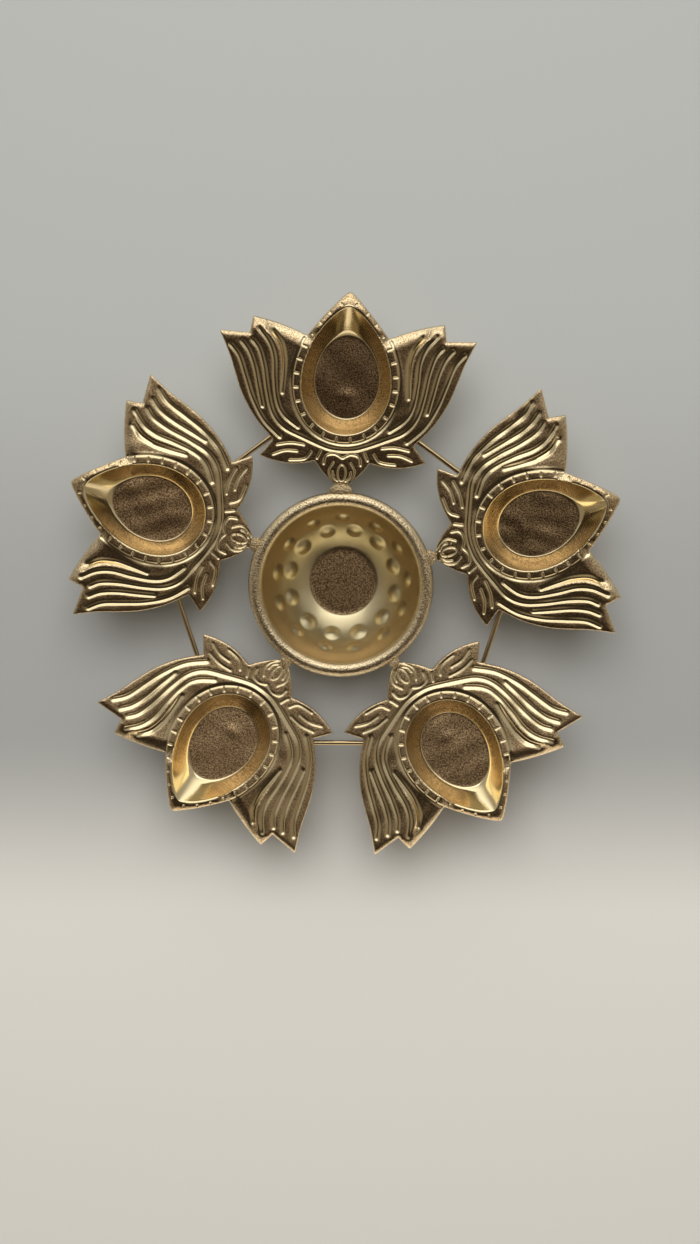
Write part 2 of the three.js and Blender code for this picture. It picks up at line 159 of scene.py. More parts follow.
gold = {
    "satin": (0.85, 0.72, 0.455, 1),
    "hammered": (0.76, 0.66, 0.43, 1),
    "sandy": (0.84, 0.62, 0.37, 1),
    "sandyDark": (0.38, 0.25, 0.14, 1),
    # paler gold of rubbed paint, also a painted highlight on edges, slopes, groove shoulders and the rim
    "rubbedAndSheen": (0.90, 0.79, 0.55, 1),
    "wire": (0.6, 0.46, 0.27, 1),
    "weld": (0.74, 0.62, 0.41, 1),
    "metallic": 1.0,
    "satinRoughness": 0.12,
    "sandyRoughness": 0.16,
    "wornRoughness": 0.08,  # added where the paint is rubbed
    "patchRoughness": (-0.02, 0.03),  # added from patch to patch
    "hammeredMatt": 0.18,  # added on the bowl
    "grainSize": 0.7,  # sizes in millimetres
    "dustSize": 0.2,
    "pitSize": 0.85,
    "patchSize": 16,
    "satinBump": 0.04,  # bumps in shares of bumpHeight
    "sandyBump": 0.5,
    "pitBump": 0.8,
    "bumpHeight": 0.25,
}


def goldMaterial(name, evenGrain=None, colors=("satin", "sandy"), matt=0.0):
    # evenGrain is for pieces whose points carry no grain of their own
    material = bpy.data.materials.new(name)
    material.use_nodes = True
    tree = material.node_tree
    shader = tree.nodes["Principled BSDF"]
    bench = Tap(tree)
    place = bench.node("ShaderNodeTexCoord", out="Object")

    def cloud(size, detail):
        inputs = {"Vector": place, "Scale": 1 / (size * mm), "Detail": detail, "Roughness": 0.6}
        return bench.node("ShaderNodeTexNoise", {}, inputs)

    def painted(attribute):
        return bench.node("ShaderNodeAttribute", {"attribute_name": attribute}, out="Fac")

    speck = cloud(gold["grainSize"], 1.5)
    dust = cloud(gold["dustSize"], 1.0)
    patch = cloud(gold["patchSize"], 3.0)
    if evenGrain is None:
        grain, wearAndSheen, pits = painted("grain"), painted("wearAndSheen"), painted("pits")
    else:
        grain = patch.ramp(0.3, 0.7, evenGrain * 0.8, evenGrain * 1.2)
        wearAndSheen = dust.ramp(0.5, 0.8, 0, evenGrain)
        pits = dust.ramp(0.3, 0.7, 0, 3 * evenGrain * evenGrain)
    sand = speck.ramp(0.4, 0.58).mix(gold["sandyDark"], gold[colors[1]])
    color = grain.ramp(0.05, 0.95).mix(gold[colors[0]], sand)
    # where worn the colour goes paler: real wear, and painted highlight where the points carry it
    color = (wearAndSheen * speck.ramp(0.3, 0.55)).mix(color, gold["rubbedAndSheen"])
    rough = grain.ramp(0, 1, gold["satinRoughness"] + matt, gold["sandyRoughness"])
    rough = rough + wearAndSheen * gold["wornRoughness"] + patch.ramp(0.3, 0.7, *gold["patchRoughness"])
    height = (speck * 0.5 + dust * 0.5) * grain.ramp(0, 1, gold["satinBump"], gold["sandyBump"])
    height = height + cloud(gold["pitSize"], 2.0) * pits * gold["pitBump"]
    relief = {"Height": height, "Distance": gold["bumpHeight"] * mm}
    color.into(shader, "Base Color")
    rough.into(shader, "Roughness")
    bench.node("ShaderNodeBump", {}, relief, out="Normal").into(shader, "Normal")
    shader.inputs["Metallic"].default_value = gold["metallic"]
    return material


plateGold = goldMaterial("plateGold")
bowlGold = goldMaterial("bowlGold", colors=("hammered", "sandy"), matt=gold["hammeredMatt"])
wireGold = goldMaterial("wireGold", evenGrain=0.12, colors=("wire", "wire"))
weldGold = goldMaterial("weldGold", evenGrain=0.5, colors=("weld", "weld"))
print("materials made")


# Lotus plate: x across, y outwards from the bud's tip, in millimetres until it is placed

lotus = {
    "count": 5,
    "rise": 8,  # degrees that a plate climbs outwards
    "budRadius": 49.9,  # from the bowl's middle to the bud's tip
    "height": 31.9,
    # how each plate was welded off its place: sideways, outwards, and turned in degrees
    "welded": [(0.3, 0.2, 3.1), (0.8, 0.9, 0.3), (0.9, -0.2, 1.5), (-0.2, -0.8, 1.5), (6.6, -0.3, 1.1)],
    "sheet": 0.9,
    "length": 100,
    # corners of the right half, and how far the edge bows out between two of them
    "budShoulder": (14.2, 14),
    "budBow": 1.2,
    "leafTip": (43.3, 15.7),
    "leafBow": 2.8,
    "wingEdge": [(36.6, 24.3), (46, 34.5), (53, 46), (57, 56.5), (60.2, 66), (65.7, 78.3)],
    "wingNotch": (50.2, 77.6),
    "lobeTip": (49, 86.1),
    "lobeBow": 0.95,
    "spoutRoot": (21, 77.5),
    "spoutBow": 0.55,
    "nib": 2,
    "cornerRound": 0.8,
    "waveCount": 7,  # unevenness of a hand-pressed sheet
    "waves": (9, 24),  # their lengths
    "waveHeight": 0.035,
}
grooves = {
    "ribs": [
        [(32.4, 26.5), (40.6, 34.3), (46.6, 44.9), (50.4, 55.4), (54.2, 65.9), (59, 72)],
        [(41.7, 41.3), (43.7, 50.1), (46.1, 60.7), (49.2, 68.6), (53, 73.6)],
        [(23.2, 31.9), (30.4, 37.4), (34, 44.3), (35.6, 55.4), (36.3, 65.9), (39.2, 73.9), (44.6, 80.4)],
        [(31.6, 48.5), (31.1, 58), (31.2, 65.9), (33.2, 73.6), (37.4, 79.2)],
    ],
    "garland": [
        *[(0, 21), (8, 22), (21.6, 27.2), (30.6, 31.4), (36.1, 38)],
        *[(39, 48), (41.2, 60.7), (44, 69.8), (47.6, 74.6)],
    ],
    "leaf": [
        [(20.2, 22.2), (27.2, 22.8), (34.2, 21.6)],
        [(23.6, 18.7), (30, 18.7), (36, 16.5)],
        [(16.4, 18.8), (19.7, 14.9), (27.5, 14)],
        [(11.4, 19.6), (12.2, 17.6), (13.2, 15.6)],
    ],
    "bud": [
        [(4.5, 13.8), (6.6, 10), (6, 6.4), (3.2, 2.7)],
        [(4.7, 9), (4.2, 6.2), (2.1, 4.3)],
    ],
    "heart": [(0, 16.1), (4.2, 18.2), (8.6, 17), (9.6, 13)],
    "oval": {"centre": (0, 8.5), "across": 2.1, "along": 4.2},
    # width to the left of the line, width to its right, depth
    "rib": (2.4, 1.35, 0.6),
    "leafStroke": (1.0, 1.0, 0.42),
    "budStroke": (0.75, 0.75, 0.36),
    "ovalStroke": (0.6, 0.6, 0.3),
    "ribShift": 1.15,  # the trough lies this far outwards of a rib's line
    "lobeFall": {"left": 13, "right": 1.9, "depth": 1.6, "runOut": 24},
}
edges = {
    # sheared edges that were rolled down: from corner to corner, width, drop
    "slopes": [
        ("lobeTip", "spoutRoot", 6.5, 2.3),
        ("wingTip", "wingNotch", 2.4, 0.7),
        ("wingNotch", "lobeTip", 1.2, 0.35),
    ],
    "spoutSlope": {"width": 2.6, "drop": 0.9, "blend": 6},
    "nibSlope": {"start": 90, "length": 10, "drop": 2.2},
    "eased": [(1.7, 0.15), (0.8, 0.35)],  # width and drop all round
    "power": 1.5,
    "round": 0.4,
    # pale rubbed colour on the rolled slopes, partly painted highlight
    "slopeWearAndSheen": 0.7,
    # pale rubbed colour along the edge, partly painted highlight
    "edgeWearAndSheen": 0.8,
    "wearAndSheenWidth": 0.9,
}
cup = {
    "lip": {"start": 27.9, "length": 65.4, "half": 23.3, "fullness": 0.5, "tip": 0.12},
    "floor": {"start": 36, "length": 41, "half": 16.4, "fullness": 0.2, "tip": 0.5},
    "depth": 12,
    "lipRound": 0.06,  # shares of the wall
    "heelRound": 0.2,
    "mound": {"from": 12, "radius": 4.2, "stretch": 1.7, "height": 0.35},
}
border = {
    "width": 4.2,
    "clear": 0.8,
    "stitches": 26,
    "rail": (2.0, 0.95, 0.5),
    "stitch": (0.85, 0.85, 0.5),
    "dot": (0.8, 0.8, 0.4),
    "railRoom": 1.6,  # least way from each to the sheet's edge
    "stitchRoom": 1.3,
    "dotRoom": 0.5,
}
grainOf = {"even": 0.7, "groove": 0.15, "wall": 0.15, "lip": 0.3}
fineness = {
    "spacing": 1.1,
    "outlineStep": 0.6,
    "grooveStep": 0.6,
    "edgeRings": (0.14, 0.3, 0.45, 0.8),
    "lipRings": (0.35, 0.7),
    "cupSides": 160,
    # shares of the cup's wall from lip to floor
    "cupLevels": [
        *(0, 0.02, 0.045, 0.07, 0.1, 0.16, 0.25, 0.35, 0.45),
        *(0.55, 0.65, 0.75, 0.84, 0.9, 0.93, 0.96, 0.98, 1),
    ],
    "floorRings": 14,
    "ribShares": (0.2, 0.4, 0.6, 0.8, 1),
    "strokeShares": (0.3, 0.55, 0.8, 1.05),
    "closest": 0.14,  # points nearer than this are thinned out
    "cell": 0.2,
}


def splinePoints(points, count):
    points = np.array(points, float)
    last = len(points) - 1
    out = []
    for i in range(count + 1):
        at = i / count * last
        k = min(int(at), last - 1)
        t = at - k
        p0, p1, p2, p3 = points[max(k - 1, 0)], points[k], points[k + 1], points[min(k + 2, last)]
        v0, v1 = (p2 - p0) / 2, (p3 - p1) / 2
        out.append((2 * p1 - 2 * p2 + v0 + v1) * t**3 + (-3 * p1 + 3 * p2 - 2 * v0 - v1) * t**2 + v0 * t + p1)
    return np.array(out)


def bowed(a, b, bow, count):
    a, b = np.array(a, float), np.array(b, float)
    side = np.array([b[1] - a[1], a[0] - b[0]])
    turn = (a + b) / 2 + side / np.linalg.norm(side) * 2 * bow
    t = np.linspace(0, 1, count + 1)[:, None]
    return (1 - t) ** 2 * a + 2 * t * (1 - t) * turn + t**2 * b


def resampled(path, step):
    path = np.array(path, float)
    run = np.concatenate([[0], np.cumsum(np.linalg.norm(np.diff(path, axis=0), axis=1))])
    at = np.linspace(0, run[-1], max(2, int(round(run[-1] / step)) + 1))
    return np.stack([np.interp(at, run, path[:, 0]), np.interp(at, run, path[:, 1])], 1)


def sideOf(path, closed=False):
    along = np.roll(path, -1, 0) - np.roll(path, 1, 0) if closed else np.gradient(path, axis=0)
    return np.stack([-along[:, 1], along[:, 0]], 1) / np.linalg.norm(along, axis=1)[:, None]


def insideLoop(points, loop):
    x, y = points[:, 0:1], points[:, 1:2]
    a, b = loop, np.roll(loop, -1, 0)
    hit = (a[:, 1] > y) != (b[:, 1] > y)
    with np.errstate(divide="ignore", invalid="ignore"):
        cross = x < (b[:, 0] - a[:, 0]) * (y - a[:, 1]) / (b[:, 1] - a[:, 1]) + a[:, 0]
    return (hit & cross).sum(1) % 2 == 1


def distanceTo(points, path, closed=False):
    a = path if closed else path[:-1]
    b = np.roll(path, -1, 0) if closed else path[1:]
    best = np.full(len(points), 1e9)
    for p, q in zip(a, b):
        d = q - p
        t = np.clip(((points - p) @ d) / max(float(d @ d), 1e-9), 0, 1)
        best = np.minimum(best, np.linalg.norm(points - (p + t[:, None] * d), axis=1))
    return best


def distanceAndSide(points, path):
    # side runs from -1 on the right of the path to 1 on its left
    best, side = np.full(len(points), 1e9), np.zeros(len(points))
    for p, q in zip(path[:-1], path[1:]):
        d = q - p
        t = np.clip(((points - p) @ d) / max(float(d @ d), 1e-9), 0, 1)
        off = points - (p + t[:, None] * d)
        reach = np.linalg.norm(off, axis=1)
        cross = (d[0] * off[:, 1] - d[1] * off[:, 0]) / np.linalg.norm(d) / np.maximum(reach, 1e-6)
        side = np.where(reach < best, cross, side)
        best = np.minimum(best, reach)
    return best, side


def widthAt(side, left, right):
    return right + (left - right) * (1 + side) / 2


def fading(distance, width, power=1):
    # 1 at no distance, falling to 0 at the width
    return np.clip(1 - distance / width, 0, 1) ** power


def roundedCorners(loop, radius):
    out = []
    for i, p in enumerate(loop):
        a, b = loop[i - 1], loop[(i + 1) % len(loop)]
        u, v = a - p, b - p
        lu, lv = np.linalg.norm(u), np.linalg.norm(v)
        turn = math.acos(max(-1, min(1, float(u @ v) / lu / lv)))
        if turn > math.radians(150):  # part of a curve
            out.append(p)
            continue
        reach = min(radius / math.tan(turn / 2), lu * 0.45 + 0.3, lv * 0.45 + 0.3)
        start, end = p + u / lu * reach, p + v / lv * reach
        out += [(1 - t) ** 2 * start + 2 * t * (1 - t) * p + t**2 * end for t in np.linspace(0, 1, 7)]
    return np.array(out)


def plateOutline():
    s = lotus
    half = np.concatenate(
        [
            bowed((0, 0), s["budShoulder"], s["budBow"], 24),
            bowed(s["budShoulder"], s["leafTip"], s["leafBow"], 40)[1:],
            splinePoints(s["wingEdge"], 80),
            [s["wingNotch"]],
            bowed(s["lobeTip"], s["spoutRoot"], s["lobeBow"], 30),
            bowed(s["spoutRoot"], (s["nib"], s["length"] - 1), s["spoutBow"], 30)[1:],
            [(0, s["length"])],
        ]
    )
    loop = roundedCorners(np.concatenate([half, half[::-1][1:-1] * [-1, 1]]), s["cornerRound"])
    keep = [0]
    for i in range(1, len(loop)):
        if np.linalg.norm(loop[i] - loop[keep[-1]]) > 0.12:
            keep.append(i)
    loop = loop[keep]
    return resampled(np.concatenate([loop, loop[:1]]), fineness["outlineStep"])[:-1]


def cupRing(share, sides):
    # the teardrop at a share of the way from the lip to the floor
    lip, floor = cup["lip"], cup["floor"]
    start, length, half, fullness, tip = (lip[key] + (floor[key] - lip[key]) * share for key in lip)

    def bulge(t):
        return np.sin(t) * (np.sin(t / 2) ** 2 + tip**2) ** (fullness / 2)

    t = np.linspace(0, 2 * math.pi, sides, endpoint=False)
    peak = bulge(np.linspace(0, math.pi, 400)).max()
    return np.stack([bulge(t) * half / peak, start + length * (1 + np.cos(t)) / 2], 1)


def aroundLip(by, sides):
    lip = cupRing(0, sides)
    return lip + sideOf(lip, True) * by


def cupFall(share):
    # depth of the wall: rounded shoulder, straight slope, rounded heel
    a, b = cup["lipRound"], cup["heelRound"]
    slope = 1 / (1 - a / 2 - b / 2)
    if share < a:
        return slope * share * share / 2 / a
    if share > 1 - b:
        return 1 - slope * (1 - share) ** 2 / 2 / b
    return slope * (share - a / 2)


outline = plateOutline()
lipLine = cupRing(0, 400)


def ribsAndStrokes():
    # each groove as its middle line and its tool
    g = grooves
    made = [(splinePoints(rib, 80), g["rib"]) for rib in g["ribs"]]
    made += [(splinePoints(path, 40), g["leafStroke"]) for path in g["leaf"]]
    made += [(splinePoints(path, 40), g["budStroke"]) for path in g["bud"]]
    made += [((path * [-1, 1])[::-1], tool) for path, tool in made]
    for name, tool in (("garland", g["rib"]), ("heart", g["leafStroke"])):
        right = splinePoints(g[name], 90)
        made.append((np.concatenate([right[::-1] * [-1, 1], right[1:]]), tool))
    made = [(path - sideOf(path) * g["ribShift"] * (tool == g["rib"]), tool) for path, tool in made]
    oval = g["oval"]
    turn = np.linspace(0, 2 * math.pi, 40)
    ring = np.stack([oval["across"] * np.cos(turn), oval["along"] * np.sin(turn)], 1) + oval["centre"]
    return made + [(ring, g["ovalStroke"])]


def stitchedBorder():
    # a rail round the lip as far as the spout, and stitches from lip to rail, short ones where room is scarce
    s = border
    rail = aroundLip(s["width"], 400)
    fits = insideLoop(rail, outline) & (distanceTo(rail, outline, True) > s["railRoom"])
    fits &= rail[:, 1] < lotus["spoutRoot"][1]
    first = int(np.argmax(fits))
    made = [(rail[first : first + int(fits.sum())], s["rail"])]
    inner, full, short = (aroundLip(by, 1600) for by in (s["clear"], s["width"], s["width"] / 2))
    steps = np.linalg.norm(np.roll(inner, -1, 0) - inner, axis=1)
    pitch = steps.sum() / s["stitches"]
    run = pitch / 2
    for i, step in enumerate(steps):
        run += step
        if run < pitch:
            continue
        run -= pitch
        tips = np.stack([full[i], short[i]])
        room = np.where(insideLoop(tips, outline), distanceTo(tips, outline, True), 0)
        if room[0] > s["stitchRoom"]:
            made.append((np.stack([inner[i] + (full[i] - inner[i]) * 0.2, full[i]]), s["stitch"]))
        elif room[1] > s["dotRoom"]:
            made.append((np.stack([short[i], short[i] * 0.6 + inner[i] * 0.4]), s["dot"]))
    return made


def clearOfEdges(points):
    inside = insideLoop(points, outline) & (distanceTo(points, outline, True) > 0.16)
    beside = ~insideLoop(points, lipLine) & (distanceTo(points, lipLine, True) > 0.3)
    return points[inside & beside]


def cupPoints():
    # rings down the wall and over the floor, each with its depth
    sides, floor = fineness["cupSides"], cup["floor"]
    rings = [(cupRing(share, sides), -cup["depth"] * cupFall(share)) for share in fineness["cupLevels"]]
    middle = np.array([0, floor["start"] + floor["length"] * 0.47])
    for shrink in np.linspace(0.94, 0.08, fineness["floorRings"]):
        ring = cupRing(1, max(10, int(sides * shrink)))
        rings.append((middle + (ring - middle) * shrink, -cup["depth"]))
    return rings


def groovePoints(path, tool):
    # lines along the groove, and a fan round each end
    left, right, depth = tool
    side, half = sideOf(path), (left + right) / 2
    shares = fineness["ribShares"] if half > 1.3 else fineness["strokeShares"]
    lines = [path] + [path + side * share * reach for share in shares for reach in (left, -right)]
    for end, way in ((path[0], path[0] - path[1]), (path[-1], path[-1] - path[-2])):
        fan = math.atan2(way[1], way[0]) + np.linspace(-1.3, 1.3, 7)
        lines += [end + np.stack([np.cos(fan), np.sin(fan)], 1) * half * share for share in (0.4, 0.7, 1.0)]
    return np.concatenate(lines)


def openPoints(pressed):
    # an even grid between the grooves
    step = fineness["spacing"]
    rows = enumerate(np.arange(-1, lotus["length"] + 1, step * 0.87))
    columns = np.arange(-66, 66, step)
    grid = np.array([(x + step / 2 * (row % 2), y) for row, y in rows for x in columns])
    far = np.ones(len(grid), bool)
    for path, (left, right, depth) in pressed:
        near = np.all((grid > path.min(0) - 3) & (grid < path.max(0) + 3), axis=1)
        far[near] &= distanceTo(grid[near], path) > min(left, right) + 0.2
    grid = grid[far]
    return grid[distanceTo(grid, outline, True) > 1.0]


def sheetPoints(pressed):
    # flat positions that follow the outline, the cup and every groove, with the depth where the cup gives it
    groups = [(outline, None)]
    inward = sideOf(outline, True)
    for by in fineness["edgeRings"]:
        ring = outline + inward * by
        groups.append((ring[distanceTo(ring, outline, True) > by * 0.93], None))
    groups += cupPoints()
    groups += [(clearOfEdges(aroundLip(by, 240)), None) for by in fineness["lipRings"]]
    groups += [(clearOfEdges(groovePoints(path, tool)), None) for path, tool in pressed]
    groups.append((clearOfEdges(openPoints(pressed)), None))
    return groups


def thinned(groups):
    # leaves out a point that falls on an earlier one
    cell = fineness["cell"]
    cells, points, depths = {}, [], []
    for k, (group, depth) in enumerate(groups):
        limit = 0.01 if k == 0 else fineness["closest"]
        for x, y in group:
            cx, cy = int(x // cell), int(y // cell)
            around = [(gx, gy) for gx in (cx - 1, cx, cx + 1) for gy in (cy - 1, cy, cy + 1)]
            near = (points[j] for at in around for j in cells.get(at, ()))
            if all(math.hypot(p[0] - x, p[1] - y) >= limit for p in near):
                cells.setdefault((cx, cy), []).append(len(points))
                points.append((x, y))
                depths.append(depth)
    return points, depths


def flatSheet(pressed):
    # the outline filled with triangles, the level of each point, and whether it lies in the cup
    flat, given = thinned(sheetPoints(pressed))
    made = delaunay_2d_cdt([Vector(p) for p in flat], [], [list(range(len(outline)))], 1, 1e-5)
    # made holds positions, lines, faces, and for each position the flat points that it came from
    xy = np.array([v[:] for v in made[0]])
    triangles = np.array([f for f in made[2] if len(f) == 3])
    a, b, c = (xy[triangles[:, k]] for k in range(3))
    turn = (b[:, 0] - a[:, 0]) * (c[:, 1] - a[:, 1]) - (b[:, 1] - a[:, 1]) * (c[:, 0] - a[:, 0])
    triangles[turn < 0] = triangles[turn < 0][:, ::-1]
    depths = [given[origin[0]] if origin else None for origin in made[3]]
    level = np.array([depth or 0.0 for depth in depths])
    inCup = np.array([depth is not None for depth in depths])
    return xy, triangles, level, inCup


def bentDown(xy, toEdge, toLip):
    # how far the sheet outside the cup is bent down, and how much its slopes are rubbed, their paler rubbed
    # colour being partly painted highlight
    s, e = lotus, edges
    drop, wearAndSheen = np.zeros(len(xy)), np.zeros(len(xy))
    mirror = np.abs(xy[:, 0])[:, None] * [1, 0] + xy * [0, 1]
    corners = {**s, "wingTip": s["wingEdge"][-1]}
    for start, end, width, fall in e["slopes"]:
        line = bowed(corners[start], corners[end], s["lobeBow"] if start == "lobeTip" else 0, 20)
        near = fading(distanceTo(mirror, line), width, e["power"])
        drop += near * fall
        wearAndSheen = np.maximum(wearAndSheen, near * e["slopeWearAndSheen"])

    # the lobes fall sideways to their last rib, and level out towards the bud and the border
    lobe = grooves["lobeFall"]
    rib = splinePoints(grooves["ribs"][-1], 80)
    rib = rib - sideOf(rib) * grooves["ribShift"]
    d, side = distanceAndSide(mirror, rib)
    fall = lobe["depth"] * fading(d, widthAt(side, lobe["left"], lobe["right"]))
    fall *= np.clip(np.linalg.norm(mirror - rib[0], axis=1) / lobe["runOut"], 0, 1)
    drop += fall * np.clip((toLip - border["width"]) / 2, 0, 1)

    nib, spout = e["nibSlope"], e["spoutSlope"]
    drop += nib["drop"] * np.clip((xy[:, 1] - nib["start"]) / nib["length"], 0, 1) ** 2
    outer = np.clip((xy[:, 1] - s["spoutRoot"][1]) / spout["blend"], 0, 1)
    drop += outer * spout["drop"] * fading(toEdge, spout["width"], e["power"])
    for width, fall in e["eased"]:
        drop += fall * fading(toEdge, width, 2)
    return drop, wearAndSheen


def vertexNormals(points, triangles):
    a, b, c = (points[triangles[:, k]] for k in range(3))
    n = np.cross(b - a, c - a)
    out = np.zeros_like(points)
    for k in range(3):
        np.add.at(out, triangles[:, k], n)
    return out / np.linalg.norm(out, axis=1)[:, None]


def roundGroove(distance, half):
    return 0.5 + 0.5 * np.cos(np.pi * np.clip(distance / half, 0, 1))


def sheetGrain(level, inCup, smooth, toLip):
    even, groove = grainOf["even"], grainOf["groove"]
    onFloor = np.clip((-level / cup["depth"] - 0.985) / 0.015, 0, 1)
    grain = np.where(inCup, onFloor, even - (even - groove) * smooth)
    grain = np.where(inCup & (level > -0.6), grainOf["wall"], grain)
    return np.where(~inCup & (toLip < 0.5), grainOf["lip"], grain)


def closedMesh(top, bottom, triangles):
    count = len(top)
    sides = {(f[k], f[(k + 1) % 3]) for f in triangles.tolist() for k in range(3)}
    faces = triangles.tolist() + (triangles[:, ::-1] + count).tolist()
    faces += [(p, p + count, q + count, q) for p, q in sides if (q, p) not in sides]
    mesh = bpy.data.meshes.new("lotusPlate")
    mesh.from_pydata((np.concatenate([top, bottom]) * mm).tolist(), [], faces)
    return mesh


def plateMesh():
    pressed = ribsAndStrokes() + stitchedBorder()
    pressed = [(resampled(path, fineness["grooveStep"]), tool) for path, tool in pressed]
    xy, triangles, level, inCup = flatSheet(pressed)
    toEdge, toLip = distanceTo(xy, outline, True), distanceTo(xy, lipLine, True)
    drop, wearAndSheen = bentDown(xy, toEdge, toLip)
    level -= np.where(inCup, 0, drop)

    sheet = lotus["sheet"]
    top = np.column_stack([xy, level])
    bottom = top - vertexNormals(top, triangles) * sheet
    smooth = np.zeros(len(xy))
    for path, (left, right, depth) in pressed:
        reach = max(left, right) + 1.5
        near = np.where(np.all((xy > path.min(0) - reach) & (xy < path.max(0) + reach), axis=1) & ~inCup)[0]
        if not len(near):
            continue
        d, side = distanceAndSide(xy[near], path)
        half = widthAt(side, left, right)
        top[near, 2] = np.minimum(top[near, 2], level[near] - depth * roundGroove(d, half))
        behind = level[near] - sheet - depth * roundGroove(d, half + sheet * 0.5)
        bottom[near, 2] = np.minimum(bottom[near, 2], behind)
        # pale rubbed colour on the groove shoulders, partly painted highlight
        wearAndSheen[near] = np.maximum(wearAndSheen[near], 0.12 * np.clip(1 - np.abs(d / half - 1.0) / 0.3, 0, 1))
        smooth[near] = np.maximum(smooth[near], np.clip(1.3 - d / half, 0, 1))

    r = edges["round"]
    roll = r - np.sqrt(np.maximum(r * r - np.maximum(r - toEdge, 0) ** 2, 0))
    top[:, 2] -= roll
    bottom[:, 2] += roll
    # pale rubbed colour along the sheet's edge, partly painted highlight
    wearAndSheen = np.maximum(wearAndSheen, edges["edgeWearAndSheen"] * fading(toEdge, edges["wearAndSheenWidth"]))

    # a low mound in the cup's floor, which reads as a faint crescent
    mound = cup["mound"]
    d = np.linalg.norm((xy - [0, cup["floor"]["start"] + mound["from"]]) * [1, mound["stretch"]], axis=1)
    onFloor = inCup & (level < -cup["depth"] + 0.01)
    top[:, 2] += np.where(onFloor, mound["height"] * np.exp(-((d / mound["radius"]) ** 2)), 0)

    mesh = closedMesh(top, bottom, triangles)
    grain = sheetGrain(level, inCup, smooth, toLip)
    paintPoints(mesh, "grain", np.concatenate([grain, grain]))
    paintPoints(mesh, "wearAndSheen", np.concatenate([wearAndSheen, wearAndSheen * 0.3]))
    mesh.validate()
    mesh.update()
    print("lotus sheet:", len(mesh.polygons), "faces")
    return mesh


def lotusPlace(i):
    slip, push, lean = lotus["welded"][i]
    turn = Matrix.Rotation(-2 * math.pi * i / lotus["count"], 4, "Z")
    hang = Matrix.Translation((slip * mm, (lotus["budRadius"] + push) * mm, lotus["height"] * mm))
    rise = Matrix.Rotation(math.radians(lotus["rise"]), 4, "X")
    return turn @ hang @ rise @ Matrix.Rotation(math.radians(-lean), 4, "Z")


def uneven(mesh, seed):
    # the sheet of each plate is a little wavy in its own way
    rng = random.Random(seed)
    co = pointsOf(mesh)
    for k in range(lotus["waveCount"]):
        turn, length = rng.uniform(0, math.pi), rng.uniform(*lotus["waves"])
        along = co[:, 0] * math.cos(turn) + co[:, 1] * math.sin(turn)
        co[:, 2] += lotus["waveHeight"] * np.sin(along * 2 * math.pi / length + rng.uniform(0, 6))
    movePoints(mesh, co)


plate = plateMesh()
for i in range(lotus["count"]):
    obj = copyOf(plate)
    uneven(obj.data, i)
    obj.matrix_world = lotusPlace(i)
    bakePlace(obj)
    finishPiece(obj, f"lotusPlate{i + 1}", plateGold, "plate_metal", f"lotus_plate_{i + 1}")
print("lotus plates done")


# Bowl

bowl = {
    "sheet": 1.1,
    "floorRadius": 18.4,
    "mouthRadius": 41.1,
    "rimHeight": 31,
    "rimRoll": 3.85,
    "curl": 285,  # degrees
    "floorTurn": 24,
    "rimTurn": 78,
    "sides": 320,
    # rows of dents: count, share of the wall, width, first one's angle
    "rows": [(12, 0.33, 10.2, -12.4), (13, 0.6, 9, -2.2)],
    "dentHeight": 1.05,
    "dentPower": 1.6,
    "dentReach": 6,
    "astray": 1.2,  # degrees that a dent is off its place, either way
    "sandyRadius": 18.3,
    "rimGrain": 0.06,
    "rimGrainSize": 1.1,
    # pale rubbed colour on the rim, partly painted highlight
    "rimWearAndSheen": 0.75,
    "seed": 4,
}


def wallPoint(share, outwards=0):
    s = bowl
    foot = np.array([s["floorRadius"], s["sheet"]])
    mouth = np.array([s["mouthRadius"], s["rimHeight"]])
    low, high = math.tan(math.radians(s["floorTurn"])), math.tan(math.radians(s["rimTurn"]))
    x = (mouth[0] * high - foot[0] * low + foot[1] - mouth[1]) / (high - low)
    turn = np.array([x, foot[1] + (x - foot[0]) * low])
    on = (1 - share) ** 2 * foot + 2 * share * (1 - share) * turn + share**2 * mouth
    along = (1 - share) * (turn - foot) + share * (mouth - turn)
    along /= np.linalg.norm(along)
    return on + np.array([along[1], -along[0]]) * outwards


def rimArc(radius, steps):
    s = bowl
    turns = np.radians(180 - np.linspace(0, s["curl"], steps))
    centre = np.array([s["mouthRadius"] + s["rimRoll"], s["rimHeight"]])
    return [centre + radius * np.array([math.cos(a), math.sin(a)]) for a in turns]


def bowlProfile():
    # inside of the wall, round the rolled rim, back along the outside and under the foot
    s = bowl
    inner = [np.array([r, s["sheet"]]) for r in (1.5, 5, 9, 13, 16, 17.8)]
    inner += [wallPoint(t) for t in np.linspace(0.02, 0.98, 50)] + rimArc(s["rimRoll"], 44)
    outer = rimArc(s["rimRoll"] - s["sheet"], 16)[::-1]
    outer += [wallPoint(t, s["sheet"]) for t in np.linspace(0.97, 0.06, 34)]
    foot = [np.array([r, 0.0]) for r in (s["floorRadius"] + 0.2, 17, 10, 1.5, 0)]
    return inner + outer + foot


